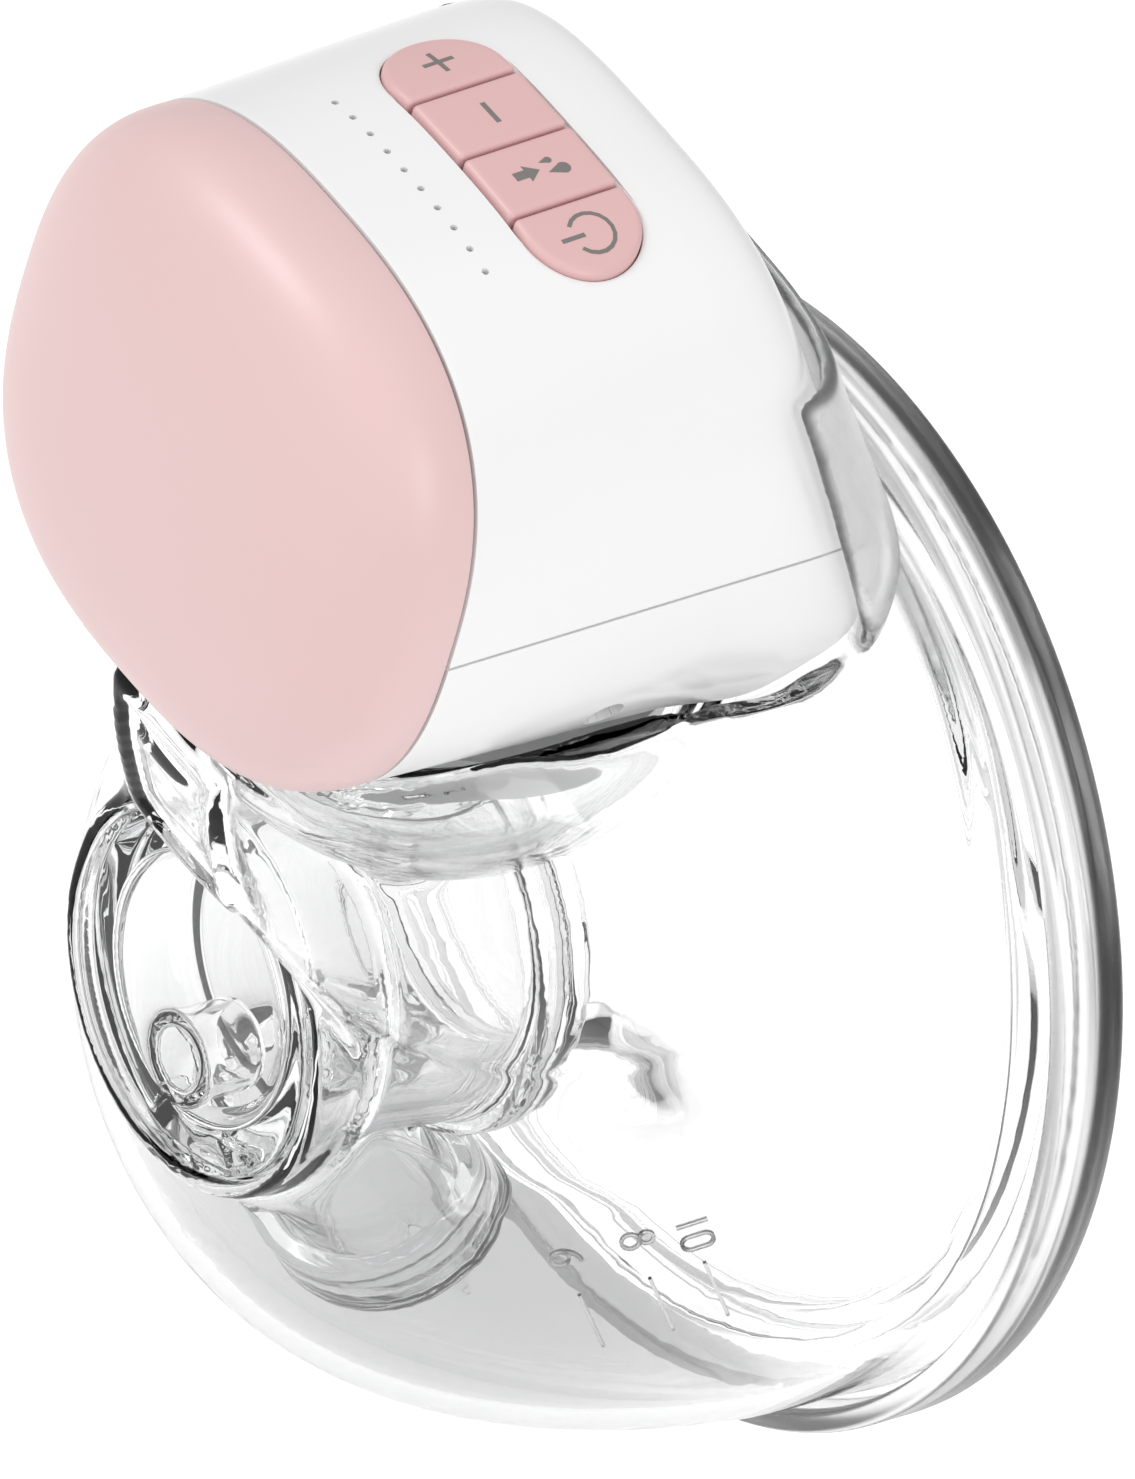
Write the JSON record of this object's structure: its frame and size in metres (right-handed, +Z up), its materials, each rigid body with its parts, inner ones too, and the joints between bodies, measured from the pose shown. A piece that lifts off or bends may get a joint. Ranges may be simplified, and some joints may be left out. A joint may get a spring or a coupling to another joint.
{
  "type": "wearable breast pump",
  "caption": "Hands-free breast pump: clear milk cup with a silicone flange, diaphragm and duckbill valve inside, and a lift-off motor unit with keys and a pink cover.",
  "frame": {"origin": "centre of the flange's rim face, on the tunnel's axis", "axes": "+Y towards the wearer, out of the flange; +Z up, towards the motor unit; +X to the right seen from the front window"},
  "size_m": [0.103, 0.0834, 0.1452],
  "materials": {
    "clear_plastic": "polished clear moulded copolyester",
    "silicone": "smooth translucent silicone",
    "white_plastic": "satin gloss",
    "pink_plastic": "satin",
    "circuit_board": "solder-masked",
    "black_plastic": "matte",
    "battery_foil": "satin wrap",
    "steel": "drawn, plated"
  },
  "bodies": {
    "pump_body": {"flange": "silicone", "milk_cup": "clear_plastic", "linker": "clear_plastic", "diaphragm_wall": "silicone", "duckbill_valve": "silicone"},
    "diaphragm_crown": {"diaphragm_crown": "silicone"},
    "motor_unit": {"upper_housing": "white_plastic", "lower_housing": "white_plastic", "front_cover": "pink_plastic", "control_board": "circuit_board", "switch_plus": "black_plastic", "switch_minus": "black_plastic", "switch_mode": "black_plastic", "switch_power": "black_plastic", "indicator_strip": "white_plastic", "light_guide": "clear_plastic", "battery": "battery_foil", "housing_screw_1": "steel", "housing_screw_2": "steel", "housing_screw_3": "steel", "housing_screw_4": "steel", "charging_socket": "black_plastic", "pump_motor": "steel", "pump_head": "black_plastic", "release_valve": "black_plastic", "air_hose": "silicone"},
    "pump_eccentric": {"pump_eccentric": "steel"},
    "key_plus": {"key_plus": "pink_plastic"},
    "key_minus": {"key_minus": "pink_plastic"},
    "key_mode": {"key_mode": "pink_plastic"},
    "key_power": {"key_power": "pink_plastic"}
  },
  "joints": [
    {"name": "motor_lift", "type": "slide", "parent": "pump_body", "child": "motor_unit", "axis": [0, -0.7071, 0.7071], "range_m": [0, 0.03]},
    {"name": "diaphragm_stroke", "type": "slide", "parent": "pump_body", "child": "diaphragm_crown", "axis": [0, 0, 1], "range_m": [0, 0.009], "stiffness_N_per_m": 60, "deforming": ["diaphragm_wall"]},
    {"name": "eccentric_spin", "type": "hinge", "parent": "motor_unit", "child": "pump_eccentric", "pos_m": [0.005, -0.047, 0.067], "axis": [1, 0, 0], "continuous": true},
    {"name": "key_plus_press", "type": "slide", "parent": "motor_unit", "child": "key_plus", "axis": [0, 0, -1], "range_m": [0, 0.0005], "stiffness_N_per_m": 300},
    {"name": "key_minus_press", "type": "slide", "parent": "motor_unit", "child": "key_minus", "axis": [0, 0, -1], "range_m": [0, 0.0005], "stiffness_N_per_m": 300},
    {"name": "key_mode_press", "type": "slide", "parent": "motor_unit", "child": "key_mode", "axis": [0, 0, -1], "range_m": [0, 0.0005], "stiffness_N_per_m": 300},
    {"name": "key_power_press", "type": "slide", "parent": "motor_unit", "child": "key_power", "axis": [0, 0, -1], "range_m": [0, 0.0005], "stiffness_N_per_m": 300}
  ]
}
